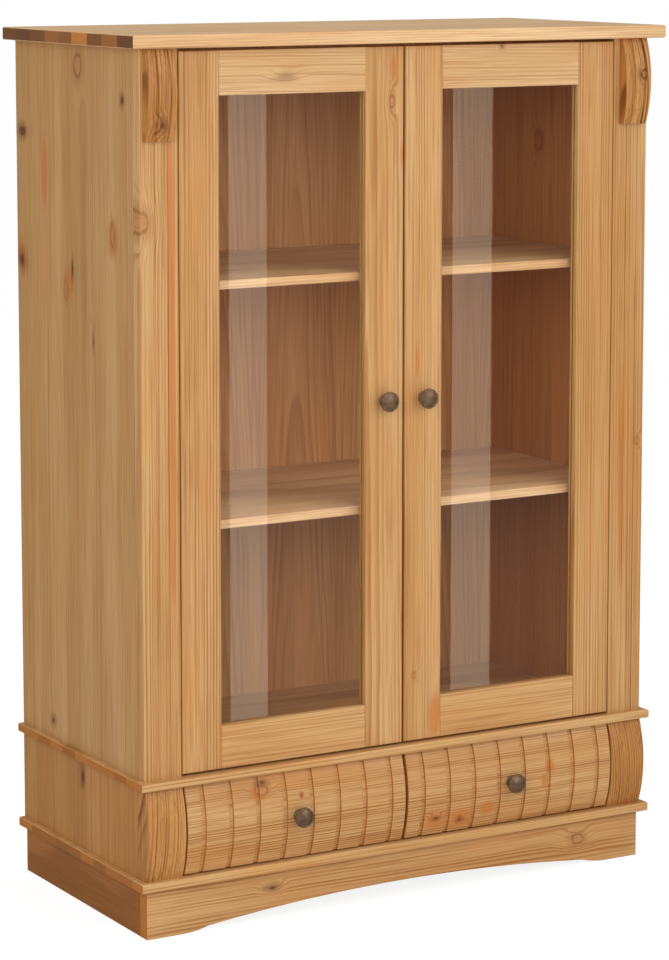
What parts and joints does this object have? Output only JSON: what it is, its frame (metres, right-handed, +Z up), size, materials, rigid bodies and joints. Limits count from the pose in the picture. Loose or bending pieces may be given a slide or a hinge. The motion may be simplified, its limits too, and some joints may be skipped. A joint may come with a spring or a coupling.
{
  "type": "glazed display cabinet",
  "caption": "Free-standing pine display cabinet with glazed doors, fluted pilasters and corbels, bow-fronted fluted drawers and an arched plinth.",
  "frame": {"origin": "Middle of the cabinet's overall footprint, on the floor.", "axes": "+Z up, +X to the right seen from the front, +Y to the back; the doors and drawers face -Y."},
  "size_m": [0.85, 0.416, 1.22],
  "materials": {
    "lacquered_pine": "satin",
    "raw_pine": "matte",
    "pine_panel": "satin",
    "hardwood": "satin",
    "clear_glass": "polished",
    "antique_bronze": "aged",
    "steel": "nickel plated"
  },
  "bodies": {
    "cabinet": {"top_board": "lacquered_pine", "mid_board": "lacquered_pine", "base_board": "lacquered_pine", "left_side_panel": "lacquered_pine", "left_lower_side": "lacquered_pine", "left_pilaster": "lacquered_pine", "left_corbel": "lacquered_pine", "left_end_block": "lacquered_pine", "left_plinth_side": "lacquered_pine", "right_side_panel": "lacquered_pine", "right_lower_side": "lacquered_pine", "right_pilaster": "lacquered_pine", "right_corbel": "lacquered_pine", "right_end_block": "lacquered_pine", "right_plinth_side": "lacquered_pine", "back_panel": "pine_panel", "lower_back_panel": "pine_panel", "drawer_divider": "raw_pine", "plinth_front": "lacquered_pine", "plinth_rear": "raw_pine", "lower_shelf": "lacquered_pine", "upper_shelf": "lacquered_pine", "shelf_pins": "steel", "hinge_blocks": "raw_pine", "hinge_arms": "steel", "runner_fillers": "raw_pine", "drawer_runners": "hardwood"},
    "left_door": {"left_door_hinge_stile": "lacquered_pine", "left_door_free_stile": "lacquered_pine", "left_door_top_rail": "lacquered_pine", "left_door_bottom_rail": "lacquered_pine", "left_door_glass": "clear_glass", "left_door_beads": "lacquered_pine", "left_door_hinge_cups": "steel", "left_door_knob": "antique_bronze", "left_door_knob_screw": "steel"},
    "right_door": {"right_door_hinge_stile": "lacquered_pine", "right_door_free_stile": "lacquered_pine", "right_door_top_rail": "lacquered_pine", "right_door_bottom_rail": "lacquered_pine", "right_door_glass": "clear_glass", "right_door_beads": "lacquered_pine", "right_door_hinge_cups": "steel", "right_door_knob": "antique_bronze", "right_door_knob_screw": "steel"},
    "left_drawer": {"left_drawer_front": "lacquered_pine", "left_drawer_left_side": "raw_pine", "left_drawer_right_side": "raw_pine", "left_drawer_back": "raw_pine", "left_drawer_bottom": "pine_panel", "left_drawer_knob": "antique_bronze", "left_drawer_knob_screw": "steel"},
    "right_drawer": {"right_drawer_front": "lacquered_pine", "right_drawer_left_side": "raw_pine", "right_drawer_right_side": "raw_pine", "right_drawer_back": "raw_pine", "right_drawer_bottom": "pine_panel", "right_drawer_knob": "antique_bronze", "right_drawer_knob_screw": "steel"}
  },
  "joints": [
    {"name": "left_door_hinge", "type": "hinge", "parent": "cabinet", "child": "left_door", "pos_m": [-0.3485, -0.178, 0], "axis": [0, 0, -1], "range_deg": [0, 105]},
    {"name": "right_door_hinge", "type": "hinge", "parent": "cabinet", "child": "right_door", "pos_m": [0.3485, -0.178, 0], "axis": [0, 0, 1], "range_deg": [0, 105]},
    {"name": "left_drawer_slide", "type": "slide", "parent": "cabinet", "child": "left_drawer", "axis": [0, -1, 0], "range_m": [0, 0.25]},
    {"name": "right_drawer_slide", "type": "slide", "parent": "cabinet", "child": "right_drawer", "axis": [0, -1, 0], "range_m": [0, 0.25]}
  ]
}
